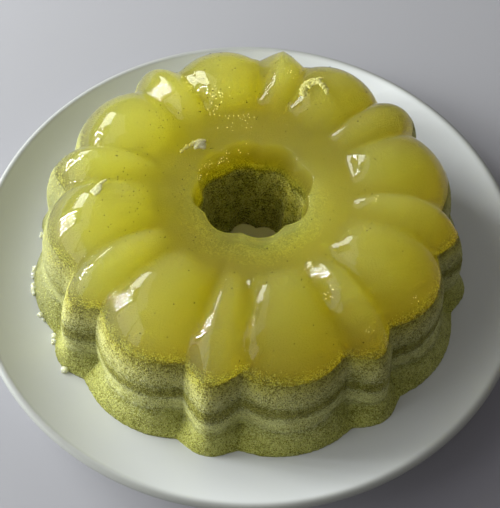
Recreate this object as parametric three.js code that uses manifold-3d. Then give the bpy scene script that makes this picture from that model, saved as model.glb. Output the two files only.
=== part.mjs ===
// A moulded jelly ring standing on its dinner plate. Eight broad lobes and eight narrow ridges run
// from a flat top down to the foot; a clear fruit layer lies over four speckled ones, and a fluted
// hole goes down through all five. Millimetres, +Z up, origin on the table under the plate's middle.

import * as THREE from 'three';
import Module from 'manifold-3d';
import { mergeVertices } from 'three/addons/utils/BufferGeometryUtils.js';

// ---------------------------------------------------------------- driving dimensions

// The plate: a coupe plate with a foot ring.
const plateDiameter = 263.6;
const plateThickness = 4.6;
const plateWellRadius = 93;
const plateRimRise = 12; // rim above the flat well
const plateLipRadius = 2.1; // half the thickness of the rounded rim
const plateLipTurn = 60; // degrees that the lip's round runs on under the rim
const footRing = { innerRadius: 70, outerRadius: 79, depth: 4, lean: 1.2 };

// The jelly stands a little off the plate's middle, and a hair above the glaze. It is wider than the
// well, so its foot rides up the start of the bowl and its underside sags into the well.
const jellyCentre = { x: -0.2, y: -1.35 };
const contactGap = 0.3; // between any two pieces that touch
const footLift = 1.7; // the foot's edge above the well
const sagRadius = 91; // the underside is level inside this

// The mould's section, in heights above the jelly's foot. The flat top ends at plateau.radius, then
// each line rises to a crest and falls in a rounded shoulder to a sloping wall.
const plateau = { height: 55.4, radius: 44.4, fillet: 0.1 };
const valleyLine = { crest: 64.2, rise: -0.4, wall: 90, shoulder: 4.7, roundness: 2.67, foot: 100.1 };
const ridgeLine = { crest: 61.7, rise: 8.4, wall: 100.3, shoulder: 10.1, roundness: 2.13, foot: 105.6 };
const lobeLine = { crest: 57.2, rise: 9, wall: 97.2, shoulder: 17, roundness: 2.26, foot: 105.2 };

// Eight ridges, with a lobe midway between each two.
const sectorCount = 8;
const firstRidgeBearing = 36.1; // degrees anticlockwise from +X
const ridgeHalfWidth = 10.6; // degrees
const lobeHalfWidth = 14.65; // degrees
const lobePower = 0.81; // below 1 a lobe has full sides and meets its valley in a crease

// The hole tapers towards the plate. Its cusps lie on the ridges and its petals on the lobes.
const hole = { cuspRadius: 17.3, petalRadius: 19.8, taper: 7.6, petalShape: 1.1, lipRadius: 2 };

// Layer tops at the outer wall. The clear layer also dips towards the hole.
const clearBase = 43.6;
const clearBaseAtHole = 36.4;
const darkTop = 29.2;
const lowerTop = 21.2;
const footTop = 11.8;
const clearBaseLean = { amount: 1, bearing: 165 }; // mm and degrees
const layerRipple = { height: 0.5, slowWaves: 3, quickWaves: 7, quickShare: 0.4 };

// Scraps that lie on the clear layer: crumbs in a row, each [x, y, radius] from the jelly's middle.
const scrapFlatness = 0.6; // height of a crumb over its width
const scraps = [
  [[-68.6, -10.6, 1.3], [-67.2, -7.6, 1.9], [-65.8, -4.6, 1.7], [-64.7, -1.8, 1.2]],
  [[-32.4, 18.1, 0.8], [-31, 20.7, 1.1], [-28.8, 22.9, 1.3], [-26.4, 24.2, 1.5], [-24.2, 22.7, 2.7],
    [-24.9, 20, 1.2]],
  [[22.2, 48.2, 1.5], [22.7, 51.8, 1.7], [24.1, 55.4, 1.9], [26.9, 58, 1.9], [29.7, 57.2, 1.7],
    [31.4, 54.2, 1.5], [32.8, 50.6, 1.3], [33.5, 47.5, 1]],
];

// ---------------------------------------------------------------- resolution

const stepsPerSector = 16;
const ringSteps = sectorCount * stepsPerSector;
const shoulderSteps = 9; // from the layer's base up to a crest
const innerRises = 4; // from a crest to the flat top
const innerRiseRun = 1.15; // how far past the plateau's edge the last of them lies
const lipSteps = 2;
const plateSegments = 80;
const bowlSteps = 5;
const halvings = 30; // enough to find a height on a line to far less than a hair

const degrees = Math.PI / 180;
const sector = 360 / sectorCount;
const wellTop = footRing.depth + plateThickness;
const jellyFoot = wellTop + contactGap + footLift;

// ---------------------------------------------------------------- the mould's shape

// Degrees from the nearest ridge, 0 on it and half a sector on a lobe.
function fromRidge(bearing) {
  const turn = (bearing - firstRidgeBearing) / sector;
  return Math.abs(turn - Math.round(turn)) * sector;
}

// Radius and height of one line of the mould: 0 to 1 climbs to the crest, 1 to 2 rounds the
// shoulder and 2 to 3 goes down the wall.
function lineAt(line, step) {
  const top = plateau.height + line.rise;
  if (step <= 1) {
    const climb = (step + Math.hypot(step, plateau.fillet)) / (1 + Math.hypot(1, plateau.fillet));
    return [
      plateau.radius + (line.crest - plateau.radius) * step,
      plateau.height + line.rise * climb * (2 - climb),
    ];
  }
  if (step <= 2) {
    const turn = (step - 1) * 90 * degrees;
    const power = 2 / line.roundness;
    return [
      line.crest + (line.wall - line.crest) * Math.sin(turn) ** power,
      line.shoulder + (top - line.shoulder) * Math.max(Math.cos(turn), 0) ** power,
    ];
  }
  return [line.wall + (line.foot - line.wall) * (step - 2), line.shoulder * (3 - step)];
}

// Radius and height of the outer surface, blended from valley to ridge and lobe.
function outsideAt(bearing, step) {
  const away = fromRidge(bearing);
  const ridgeShare = 0.5 + 0.5 * Math.cos(Math.PI * Math.min(away / ridgeHalfWidth, 1));
  const fromLobe = Math.min((sector / 2 - away) / lobeHalfWidth, 1);
  const lobeShare = (1 - fromLobe ** 2) ** lobePower;
  const valley = lineAt(valleyLine, step);
  const ridge = lineAt(ridgeLine, step);
  const lobe = lineAt(lobeLine, step);
  return valley.map((v, i) => v + ridgeShare * (ridge[i] - v) + lobeShare * (lobe[i] - v));
}

// The step at which the outer surface passes a height, or a radius, by halving.
function stepWhere(reached, low, high) {
  for (let round = 0; round < halvings; round += 1) {
    const middle = (low + high) / 2;
    if (reached(middle)) high = middle;
    else low = middle;
  }
  return high;
}

function stepAtHeight(bearing, height) {
  return stepWhere((step) => outsideAt(bearing, step)[1] <= height, 1, 3);
}

function topHeightAt(x, y) {
  const bearing = Math.atan2(y, x) / degrees;
  const radius = Math.hypot(x, y);
  const step = stepWhere((s) => outsideAt(bearing, s)[0] >= radius, -1, 2);
  return outsideAt(bearing, step)[1];
}

function holeRadiusAt(bearing, height) {
  const petal = Math.sin((fromRidge(bearing) / sector) * Math.PI) ** hole.petalShape;
  const foot = hole.cuspRadius + (hole.petalRadius - hole.cuspRadius) * petal;
  return foot + hole.taper * (height / plateau.height);
}

// A few slow waves and some quick ones round the ring.
function ripple(bearing, phase) {
  const turn = (bearing + phase) * degrees;
  const slow = Math.sin(layerRipple.slowWaves * turn);
  const quick = Math.sin(layerRipple.quickWaves * turn);
  return layerRipple.height * (slow + layerRipple.quickShare * (quick - slow));
}

// Height of each boundary between layers at the outer wall and at the hole.
function clearBaseAt(bearing) {
  const lean = clearBaseLean.amount * Math.cos((bearing - clearBaseLean.bearing) * degrees);
  const wave = ripple(bearing, 0);
  return [clearBase + lean + wave, clearBaseAtHole + wave];
}

function levelAt(height, phase) {
  return (bearing) => {
    const wave = ripple(bearing, phase);
    return [height + wave, height + wave];
  };
}

// ---------------------------------------------------------------- closed rings

// Sweeps a section round the ring. The section is a closed loop of [radius, height], up the
// outside, in over the top and down the hole.
function ringGeometry(sectionAt) {
  const sections = [];
  for (let i = 0; i < ringSteps; i += 1) {
    const bearing = firstRidgeBearing + (i * 360) / ringSteps;
    sections.push(sectionAt(bearing).map(([radius, height]) => [
      jellyCentre.x + radius * Math.cos(bearing * degrees),
      jellyCentre.y + radius * Math.sin(bearing * degrees),
      jellyFoot + height,
    ]));
  }
  const count = sections[0].length;
  const indices = [];
  for (let i = 0; i < ringSteps; i += 1) {
    const next = (i + 1) % ringSteps;
    for (let k = 0; k < count; k += 1) {
      const above = (k + 1) % count;
      const [a, b] = [i * count + k, next * count + k];
      const [c, d] = [next * count + above, i * count + above];
      indices.push(a, b, c, a, c, d);
    }
  }
  const geometry = new THREE.BufferGeometry();
  geometry.setAttribute('position', new THREE.Float32BufferAttribute(sections.flat(2), 3));
  geometry.setIndex(indices);
  geometry.computeVertexNormals();
  return geometry;
}

// A speckled layer between two boundaries, lifted clear of the one below. Its base runs straight from
// the hole to the wall, or is level as far as levelRadius and then rises to the wall.
function layerGeometry(baseAt, topAt, wallSteps, levelRadius) {
  return ringGeometry((bearing) => {
    const [outerBase, innerBase] = baseAt(bearing).map((height) => height + contactGap);
    const [outerTop, innerTop] = topAt(bearing);
    const section = [];
    for (let k = 0; k <= wallSteps; k += 1) {
      const height = outerBase + ((outerTop - outerBase) * k) / wallSteps;
      section.push(outsideAt(bearing, stepAtHeight(bearing, height)));
    }
    section.push([holeRadiusAt(bearing, innerTop), innerTop]);
    section.push([holeRadiusAt(bearing, innerBase), innerBase]);
    if (levelRadius) section.push([levelRadius, innerBase]);
    return section;
  });
}

// The clear layer: shoulder, crest, flat top, rounded lip and the hole's wall.
function clearGeometry() {
  return ringGeometry((bearing) => {
    const [outerBase, innerBase] = clearBaseAt(bearing).map((height) => height + contactGap);
    const first = stepAtHeight(bearing, outerBase);
    const section = [];
    for (let k = 0; k < shoulderSteps; k += 1) {
      section.push(outsideAt(bearing, first + ((1 - first) * k) / shoulderSteps));
    }
    for (let k = 0; k <= innerRises; k += 1) {
      section.push(outsideAt(bearing, 1 - (k * innerRiseRun) / innerRises));
    }
    const wallTop = plateau.height - hole.lipRadius;
    const wall = holeRadiusAt(bearing, wallTop);
    for (let k = 0; k <= lipSteps; k += 1) {
      const turn = ((90 * k) / lipSteps) * degrees;
      section.push([
        wall + hole.lipRadius * (1 - Math.sin(turn)),
        wallTop + hole.lipRadius * Math.cos(turn),
      ]);
    }
    section.push([holeRadiusAt(bearing, innerBase), innerBase]);
    return section;
  });
}

// ---------------------------------------------------------------- scraps, fused on

function solidFrom(wasm, geometry) {
  const bare = geometry.clone();
  bare.deleteAttribute('normal');
  bare.deleteAttribute('uv');
  const merged = mergeVertices(bare, 1e-4);
  return new wasm.Manifold(new wasm.Mesh({
    numProp: 3,
    vertProperties: new Float32Array(merged.attributes.position.array),
    triVerts: new Uint32Array(merged.index.array),
  }));
}

function geometryFrom(solid) {
  const mesh = solid.getMesh();
  const geometry = new THREE.BufferGeometry();
  geometry.setAttribute('position', new THREE.BufferAttribute(mesh.vertProperties, 3));
  geometry.setIndex(new THREE.BufferAttribute(mesh.triVerts, 1));
  geometry.computeVertexNormals();
  return geometry;
}

// One crumb: a low lump half sunk in the surface, turned by its place in the row.
function crumbGeometry([x, y, radius], place) {
  const crumb = new THREE.IcosahedronGeometry(radius, 0);
  crumb.rotateZ(place);
  crumb.scale(1, 1, scrapFlatness);
  crumb.translate(jellyCentre.x + x, jellyCentre.y + y, jellyFoot + topHeightAt(x, y));
  return crumb;
}

async function withScraps(clear) {
  const wasm = await Module();
  wasm.setup();
  let whole = solidFrom(wasm, clear);
  for (const row of scraps) {
    row.forEach((crumb, place) => {
      whole = whole.add(solidFrom(wasm, crumbGeometry(crumb, place)));
    });
  }
  return geometryFrom(whole);
}

// ---------------------------------------------------------------- the plate

function arcPoints(centre, radius, from, to, steps) {
  const points = [];
  for (let k = 0; k <= steps; k += 1) {
    const turn = (from + ((to - from) * k) / steps) * degrees;
    points.push(new THREE.Vector2(
      centre[0] + radius * Math.cos(turn),
      centre[1] + radius * Math.sin(turn),
    ));
  }
  return points;
}

// From the axis under the well, out over the foot ring, up round the rim and back over the well.
// The bowl of the plate is an arc that leaves the well level and runs into the rounded lip.
function plateGeometry() {
  const lip = [plateDiameter / 2 - plateLipRadius, wellTop + plateRimRise - plateLipRadius];
  const run = lip[0] - plateWellRadius;
  const climb = lip[1] - wellTop;
  const bowlRadius = (run ** 2 + climb ** 2 - plateLipRadius ** 2) / (2 * plateRimRise);
  const bowlCentre = [plateWellRadius, wellTop + bowlRadius];
  const turned = Math.asin(run / (bowlRadius + plateLipRadius)) / degrees;
  const profile = [
    new THREE.Vector2(0, footRing.depth),
    new THREE.Vector2(footRing.innerRadius - footRing.lean, footRing.depth),
    new THREE.Vector2(footRing.innerRadius + footRing.lean, 0),
    new THREE.Vector2(footRing.outerRadius - footRing.lean, 0),
    new THREE.Vector2(footRing.outerRadius + footRing.lean, footRing.depth),
    ...arcPoints(bowlCentre, bowlRadius + plateThickness, -90, -90 + turned, bowlSteps),
    ...arcPoints(lip, plateLipRadius, turned - plateLipTurn, turned + 90, bowlSteps),
    ...arcPoints(bowlCentre, bowlRadius, -90 + turned, -90, bowlSteps + 1),
    new THREE.Vector2(0, wellTop),
  ];
  const geometry = new THREE.LatheGeometry(profile, plateSegments);
  geometry.rotateX(Math.PI / 2);
  return geometry;
}

// ---------------------------------------------------------------- the model

const finishes = {
  plate: { color: '#d6d8d2', roughness: 0.22 },
  clear: { color: '#a8a43a', roughness: 0.1 },
  upper: { color: '#8c9060', roughness: 0.55 },
  dark: { color: '#55571a', roughness: 0.6 },
  lower: { color: '#92965f', roughness: 0.55 },
  foot: { color: '#8b8f45', roughness: 0.55 },
};

const moulded = new THREE.Group();

function addPiece(name, geometry, finish) {
  const mesh = new THREE.Mesh(geometry, new THREE.MeshStandardMaterial({ metalness: 0, ...finish }));
  mesh.name = name;
  moulded.add(mesh);
}

const footLine = () => [-contactGap, -contactGap - footLift];
const footTopAt = levelAt(footTop, 40);
const lowerTopAt = levelAt(lowerTop, 90);
const darkTopAt = levelAt(darkTop, 150);

addPiece('plate', plateGeometry(), finishes.plate);
addPiece('jelly_clear', await withScraps(clearGeometry()), finishes.clear);
addPiece('grain_upper', layerGeometry(darkTopAt, clearBaseAt, 2), finishes.upper);
addPiece('grain_dark', layerGeometry(lowerTopAt, darkTopAt, 1), finishes.dark);
addPiece('grain_lower', layerGeometry(footTopAt, lowerTopAt, 1), finishes.lower);
addPiece('grain_foot', layerGeometry(footLine, footTopAt, 2, sagRadius), finishes.foot);

export default moulded;
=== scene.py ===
# Moulded jelly ring on its coupe plate.
import math

import bpy
import numpy as np
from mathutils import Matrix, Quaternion, Vector, noise as fractal


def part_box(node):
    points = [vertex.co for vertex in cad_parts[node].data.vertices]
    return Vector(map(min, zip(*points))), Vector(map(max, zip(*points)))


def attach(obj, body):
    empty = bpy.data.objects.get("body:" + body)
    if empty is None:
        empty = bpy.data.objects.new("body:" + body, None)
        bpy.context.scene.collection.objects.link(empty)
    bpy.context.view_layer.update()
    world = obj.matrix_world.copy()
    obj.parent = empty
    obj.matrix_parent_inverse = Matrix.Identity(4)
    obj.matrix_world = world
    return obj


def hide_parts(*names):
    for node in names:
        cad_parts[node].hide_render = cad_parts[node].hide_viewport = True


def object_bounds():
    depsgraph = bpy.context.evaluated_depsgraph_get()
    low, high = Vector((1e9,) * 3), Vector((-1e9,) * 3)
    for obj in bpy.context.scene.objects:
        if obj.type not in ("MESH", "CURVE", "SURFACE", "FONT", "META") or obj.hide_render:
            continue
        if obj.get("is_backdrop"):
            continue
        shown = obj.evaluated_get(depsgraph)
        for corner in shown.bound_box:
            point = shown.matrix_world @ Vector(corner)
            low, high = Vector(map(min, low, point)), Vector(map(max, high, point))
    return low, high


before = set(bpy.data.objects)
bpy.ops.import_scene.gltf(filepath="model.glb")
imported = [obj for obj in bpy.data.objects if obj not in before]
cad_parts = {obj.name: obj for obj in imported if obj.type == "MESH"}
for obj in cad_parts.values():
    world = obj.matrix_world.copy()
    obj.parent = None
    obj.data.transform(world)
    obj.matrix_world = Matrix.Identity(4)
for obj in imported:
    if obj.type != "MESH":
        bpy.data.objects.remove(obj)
cadBox = [list(corner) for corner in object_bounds()]
mm = 0.001
footLow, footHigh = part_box("grain_foot")
plateLow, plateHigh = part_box("plate")
footLift = 1.7  # the edge of the jelly's foot above its lowest point, in millimetres
jellyMiddle = Vector(((footLow.x + footHigh.x) / 2, (footLow.y + footHigh.y) / 2, footLow.z + footLift * mm))
plateWidth = round((plateHigh.x - plateLow.x) / mm)
print("frame loaded:", len(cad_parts), "nodes, plate", plateWidth, "mm across")


def deselectAll():
    if bpy.context.mode != "OBJECT":
        bpy.ops.object.mode_set(mode="OBJECT")
    bpy.ops.object.select_all(action="DESELECT")


def pick(piece):
    deselectAll()
    piece.select_set(True)
    bpy.context.view_layer.objects.active = piece


def newest(name):
    piece = bpy.context.object
    piece.name = name
    piece.data.name = name
    return piece


def settle(piece):  # place, turn and size go into the mesh
    pick(piece)
    bpy.ops.object.transform_apply(location=True, rotation=True, scale=True)


def applyModifiers(piece):
    pick(piece)
    for modifier in list(piece.modifiers):
        bpy.ops.object.modifier_apply(modifier=modifier.name)


def smoothShade(piece, angle=50):
    pick(piece)
    bpy.ops.object.shade_smooth_by_angle(angle=math.radians(angle))


def joinAll(pieces, name):
    deselectAll()
    for piece in pieces:
        piece.select_set(True)
    bpy.context.view_layer.objects.active = pieces[0]
    bpy.ops.object.join()
    return newest(name)


# The mould's surface, in millimetres from the jelly's middle and foot. Three radial lines, down a
# valley, a ridge and a lobe, are blended round each eighth of the ring. On each of them step 0 is the
# flat top's edge, 1 the crest, 2 the shoulder and 3 the foot.
mould = {
    "plateauHeight": 55.4,
    "plateauRadius": 44.4,
    "fillet": 0.1,
    "valley": {"crest": 64.2, "rise": -0.4, "wall": 90, "shoulder": 4.7, "roundness": 2.67, "foot": 100.1},
    "ridge": {"crest": 61.7, "rise": 8.4, "wall": 100.3, "shoulder": 10.1, "roundness": 2.13, "foot": 105.6},
    "lobe": {"crest": 57.2, "rise": 9, "wall": 97.2, "shoulder": 17, "roundness": 2.26, "foot": 105.2},
    "firstRidge": 36.1,  # degrees anticlockwise from +X
    "sector": 45,
    "ridgeHalfWidth": 10.6,
    "lobeHalfWidth": 14.65,
    "lobePower": 0.81,
    # one ridge came out of the mould with a sharper crest
    "sharpRidge": {"bearing": 81.1, "straight": 0.7, "lift": 1.0},
    "footStep": 3.0,
    "halvings": 30,  # of the search for a point on the surface
}
hole = {
    "cusp": 17.3,
    "petal": 19.8,
    "petalShape": 1.1,
    "taper": 7.6,
    "lip": 1.4,
    "level": 37,  # in the hole the layers look alike, close to this level of the outer wall
    "levelShare": 0.1,
}
plate = {
    "radius": 131.78,
    "thickness": 4.6,
    "well": 93,
    "rimRise": 12,
    "lip": 2.1,
    "lipTurn": 60,
    "footInner": 70,
    "footOuter": 79,
    "footDepth": 4,
    "footLean": 1.2,
    "footBevel": (0.4, 0.5),  # a share of the lean, and millimetres up
    "underRings": (0, 25, 50),
    "wellRings": (70, 45, 20, 0),
    "bowlSteps": 24,
    "lipSteps": 20,
    "steps": 240,
}
layers = {
    "clearBase": 43.6,
    "clearBaseAtHole": 36.4,
    "darkTop": 29.2,
    "lowerTop": 21.2,
    "footTop": 11.8,
    "lean": 1,
    "leanBearing": 165,
    "ripple": 0.5,
    "slowWaves": 3,
    "quickWaves": 7,
    "quickShare": 0.4,
    "footPhase": 40,
    "lowerPhase": 90,
    "darkPhase": 150,
    "seam": 0.15,  # a layer reaches this far into the one above
}


def fromRidge(bearing):
    turn = (bearing - mould["firstRidge"]) / mould["sector"]
    return np.abs(turn - np.round(turn)) * mould["sector"]


def lineAt(line, step):
    foot, span = mould["plateauRadius"], line["crest"] - mould["plateauRadius"]
    top = mould["plateauHeight"] + line["rise"]
    fillet = mould["fillet"]
    climb = (step + np.hypot(step, fillet)) / (1 + math.hypot(1, fillet))
    turn = np.clip(step - 1, 0, 1) * math.pi / 2
    power = 2 / line["roundness"]
    down = step - 2
    bent = np.clip(np.cos(turn), 0, 1) ** power
    radius = np.where(step <= 1, foot + span * step,
                      line["crest"] + (line["wall"] - line["crest"]) * np.sin(turn) ** power)
    height = np.where(step <= 1, mould["plateauHeight"] + line["rise"] * climb * (2 - climb),
                      line["shoulder"] + (top - line["shoulder"]) * bent)
    radius = np.where(step > 2, line["wall"] + (line["foot"] - line["wall"]) * down, radius)
    height = np.where(step > 2, line["shoulder"] * (1 - down), height)
    return radius, height


def outsideAt(bearing, step):
    away = fromRidge(bearing)
    ridgeShare = 0.5 + 0.5 * np.cos(math.pi * np.minimum(away / mould["ridgeHalfWidth"], 1))
    sharp = mould["sharpRidge"]
    nearby = np.abs((bearing - sharp["bearing"] + 180) % 360 - 180) < mould["ridgeHalfWidth"]
    straight = np.maximum(1 - away / mould["ridgeHalfWidth"], 0)
    ridgeShare = ridgeShare + np.where(nearby, sharp["straight"] * (straight - ridgeShare), 0)
    fromLobe = np.minimum((mould["sector"] / 2 - away) / mould["lobeHalfWidth"], 1)
    lobeShare = (1 - fromLobe ** 2) ** mould["lobePower"]
    blended = []
    for v, r, l in zip(*(lineAt(mould[kind], step) for kind in ("valley", "ridge", "lobe"))):
        blended.append(v + ridgeShare * (r - v) + lobeShare * (l - v))
    raised = np.clip(1 - np.abs(step - 1), 0, 1) * straight ** 2
    blended[1] = blended[1] + np.where(nearby, sharp["lift"] * raised, 0)
    return blended


def stepAtHeight(bearing, height):  # by halving, between the crest and the foot
    low, high = np.ones_like(bearing), np.full_like(bearing, mould["footStep"])
    for halving in range(mould["halvings"]):
        middle = (low + high) / 2
        below = outsideAt(bearing, middle)[1] <= height
        high = np.where(below, middle, high)
        low = np.where(below, low, middle)
    return high


def stepAtRadius(bearing, radius):
    low, high = np.full_like(bearing, -1.0), np.full_like(bearing, 2.0)
    for halving in range(mould["halvings"]):
        middle = (low + high) / 2
        past = outsideAt(bearing, middle)[0] >= radius
        high = np.where(past, middle, high)
        low = np.where(past, low, middle)
    return high


def footRadiusAt(bearing):
    return outsideAt(bearing, np.full_like(bearing, mould["footStep"]))[0]


def holeRadiusAt(bearing, height):
    petal = np.sin(fromRidge(bearing) / mould["sector"] * math.pi) ** hole["petalShape"]
    foot = hole["cusp"] + (hole["petal"] - hole["cusp"]) * petal
    return foot + hole["taper"] * height / mould["plateauHeight"]


def rippleAt(bearing, phase):
    turn = np.radians(bearing + phase)
    slow, quick = np.sin(layers["slowWaves"] * turn), np.sin(layers["quickWaves"] * turn)
    return layers["ripple"] * (slow + layers["quickShare"] * (quick - slow))


def clearBaseAt(bearing):  # at the outer wall and at the hole
    lean = layers["lean"] * np.cos(np.radians(bearing - layers["leanBearing"]))
    wave = rippleAt(bearing, 0)
    return layers["clearBase"] + lean + wave, layers["clearBaseAtHole"] + wave


def levelAt(bearing, key, phase):
    level = layers[key] + rippleAt(bearing, layers[phase])
    return level, level


plateTop = plate["footDepth"] + plate["thickness"]
lipRun = plate["radius"] - plate["lip"] - plate["well"]
lipClimb = plate["rimRise"] - plate["lip"]
bowlRadius = (lipRun ** 2 + lipClimb ** 2 - plate["lip"] ** 2) / (2 * plate["rimRise"])


def glazeUnder(bearing, radius):  # height of the plate's face below a point of the jelly's foot
    turn = np.radians(bearing)
    away = np.hypot(jellyMiddle.x / mm + radius * np.cos(turn), jellyMiddle.y / mm + radius * np.sin(turn))
    past = np.maximum(away - plate["well"], 0)
    return plateTop - jellyMiddle.z / mm + bowlRadius - np.sqrt(bowlRadius ** 2 - past ** 2)


# A ring is a flat grid rolled up twice, round the axis and round its section, which runs up the
# outside, over the top, down the hole and back under.
def ringFrom(name, bearings, sections, levels):
    radius, height, bearing, level = (
        np.pad(values, ((0, 1), (0, 1)), mode="wrap")
        for values in (*sections, bearings[:, None] * np.ones_like(levels), levels))
    columns, rows = radius.shape
    deselectAll()
    # its size doesn't matter, as each corner is placed below
    bpy.ops.mesh.primitive_grid_add(x_subdivisions=rows - 1, y_subdivisions=columns - 1, size=200 * mm)
    piece = newest(name)
    turn = np.radians(bearing)
    places = np.stack([jellyMiddle.x / mm + radius * np.cos(turn),
                       jellyMiddle.y / mm + radius * np.sin(turn),
                       jellyMiddle.z / mm + height], axis=-1) * mm
    piece.data.vertices.foreach_set("co", places.astype(np.float32).ravel())
    heightLayer = piece.data.attributes.new("level", "FLOAT", "POINT")
    heightLayer.data.foreach_set("value", level.astype(np.float32).ravel())
    piece.data.update()
    bpy.ops.object.mode_set(mode="EDIT")
    bpy.ops.mesh.select_all(action="SELECT")
    bpy.ops.mesh.remove_doubles(threshold=0.001 * mm)
    bpy.ops.mesh.normals_make_consistent(inside=False)
    bpy.ops.object.mode_set(mode="OBJECT")
    smoothShade(piece)
    return piece


def roughness(radius, height, bearing, amount):  # uneven relief, the same on both sides of a seam
    turn = np.radians(bearing)[:, None] * np.ones_like(radius)
    spots = np.stack([radius * np.cos(turn), radius * np.sin(turn), height], axis=-1).reshape(-1, 3)
    lumps = [fractal.noise(spot) for spot in (spots / grainRings["lump"]).tolist()]
    return np.array(lumps).reshape(radius.shape) * amount


clearRing = {
    "columns": 640,
    "wallRows": 46,
    "riseRows": 22,
    "lipRows": 8,
    "holeRows": 16,
    "baseRows": 6,
    "reach": 1.25,  # how far the flat top runs in, in spans from crest to plateau
    "sunk": 0.9,  # the base lies just inside the layer below, with no air between
    "inset": 0.8,
}


def clearSection(bearing):
    outer, inner = (edge + layers["seam"] for edge in clearBaseAt(bearing))
    first = stepAtHeight(bearing, outer)
    wall = np.linspace(0, 1, clearRing["wallRows"], endpoint=False)
    rise = 1 - np.linspace(0, 1, clearRing["riseRows"]) * clearRing["reach"]
    steps = np.concatenate([first[:, None] + (1 - first[:, None]) * wall,
                            np.ones((len(bearing), 1)) * rise], axis=1)
    radius, height = outsideAt(bearing[:, None], steps)
    wallTop = mould["plateauHeight"] - hole["lip"]
    rim = holeRadiusAt(bearing, wallTop)[:, None]
    turn = np.linspace(0, math.pi / 2, clearRing["lipRows"])
    lipRadius = rim + hole["lip"] * (1 - np.sin(turn))
    lipHeight = wallTop + hole["lip"] * np.cos(turn) * np.ones_like(rim)
    down = np.linspace(0, 1, clearRing["holeRows"] + 1)[1:]
    holeHeight = wallTop + (inner[:, None] - wallTop) * down
    holeRadius = holeRadiusAt(bearing[:, None], holeHeight)
    out = np.linspace(0, 1, clearRing["baseRows"])
    inset, sunk = clearRing["inset"], clearRing["sunk"]
    baseRadius = holeRadius[:, -1:] + inset + (radius[:, :1] - holeRadius[:, -1:] - 2 * inset) * out
    baseHeight = inner[:, None] + (outer - inner)[:, None] * out - sunk
    radius = np.concatenate([radius, lipRadius, holeRadius, baseRadius], axis=1)
    height = np.concatenate([height, lipHeight, holeHeight, baseHeight], axis=1)
    share = np.clip((radius - holeRadius[:, -1:]) / (radius[:, :1] - holeRadius[:, -1:]), 0, 1)
    floor = inner[:, None] + (outer - inner)[:, None] * share
    return (radius, height), layers["clearBase"] + height - floor


grainRings = {
    "columns": 1280,
    "rows": {"upper": 24, "dark": 15, "lower": 17, "foot": 21},
    "contact": 0.02,  # the foot stands this far above the glaze
    "lump": 1.5,  # size of the uneven relief
    "wallRelief": 0.26,
    "holeRelief": 0.32,
    "inward": (0.03, 0.1, 0.25, 0.5, 0.75),  # rows across the covered faces, as shares of the way in
    "fade": 60,  # past the seam the level climbs, so that the grain fades out below the clear jelly
}


def layerSection(bearing, base, top, low, high, rows):
    outerBase, innerBase = (edge[:, None] + layers["seam"] for edge in base)
    outerTop, innerTop = (edge[:, None] + layers["seam"] for edge in top)
    up = np.linspace(0, 1, rows)
    wallHeight = outerBase + (outerTop - outerBase) * up
    wide = bearing[:, None] * np.ones_like(wallHeight)
    radius = outsideAt(wide, stepAtHeight(wide, wallHeight))[0]
    holeHeight = innerTop + (innerBase - innerTop) * up
    holeRadius = holeRadiusAt(bearing[:, None], holeHeight)
    radius = radius + roughness(radius, wallHeight, bearing, grainRings["wallRelief"])
    holeRadius = holeRadius + roughness(holeRadius, holeHeight, bearing, grainRings["holeRelief"])
    inward = np.array(grainRings["inward"])
    topRadius = radius[:, -1:] + (holeRadius[:, :1] - radius[:, -1:]) * inward
    topHeight = outerTop + (innerTop - outerTop) * inward
    baseRadius = holeRadius[:, -1:] + (radius[:, :1] - holeRadius[:, -1:]) * (1 - inward[::-1])
    baseHeight = innerBase + (outerBase - innerBase) * (1 - inward[::-1])
    if low == 0:  # the lowest layer follows the plate
        baseHeight = glazeUnder(bearing[:, None], baseRadius) + grainRings["contact"]
    levelUp = low + (high - low) * up * np.ones_like(wallHeight)
    flat = np.ones_like(topHeight)
    covered = high + grainRings["fade"] * inward * (1 - inward) * flat
    inHole = hole["level"] + (levelUp[:, ::-1] - hole["level"]) * hole["levelShare"]
    levels = np.concatenate([levelUp, covered, inHole, flat * low], axis=1)
    section = (np.concatenate([radius, topRadius, holeRadius, baseRadius], axis=1),
               np.concatenate([wallHeight, topHeight, holeHeight, baseHeight], axis=1))
    return section, levels


def evenBearings(columns):
    return mould["firstRidge"] + np.arange(columns) * 360 / columns


bearings = evenBearings(clearRing["columns"])
clearJelly = ringFrom("clear_jelly", bearings, *clearSection(bearings))
print("clear ring:", len(clearJelly.data.polygons), "faces")

bearings = evenBearings(grainRings["columns"])
edges = {
    "foot": [glazeUnder(bearings, r) + grainRings["contact"] - layers["seam"]
             for r in (footRadiusAt(bearings), hole["cusp"])],
    "footTop": levelAt(bearings, "footTop", "footPhase"),
    "lowerTop": levelAt(bearings, "lowerTop", "lowerPhase"),
    "darkTop": levelAt(bearings, "darkTop", "darkPhase"),
    "clearBase": clearBaseAt(bearings),
}
grainPieces = {}
for layer, base, top, low in (
    ("upper", "darkTop", "clearBase", layers["darkTop"]),
    ("dark", "lowerTop", "darkTop", layers["lowerTop"]),
    ("lower", "footTop", "lowerTop", layers["footTop"]),
    ("foot", "foot", "footTop", 0),
):
    rows = grainRings["rows"][layer]
    section, levels = layerSection(bearings, edges[base], edges[top], low, layers[top], rows)
    grainPieces[layer] = ringFrom("speckled_" + layer, bearings, section, levels)
print("speckled rings:", sum(len(piece.data.polygons) for piece in grainPieces.values()), "faces")


# The plate is one outline spun round its axis, in millimetres: under the well, over the foot ring,
# up the bowl's back, round the lip and down to the well again.
def arcPoints(centre, radius, start, end, steps):
    turns = [math.radians(start + (end - start) * k / steps) for k in range(steps + 1)]
    return [(centre[0] + radius * math.cos(t), centre[1] + radius * math.sin(t)) for t in turns]


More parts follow.
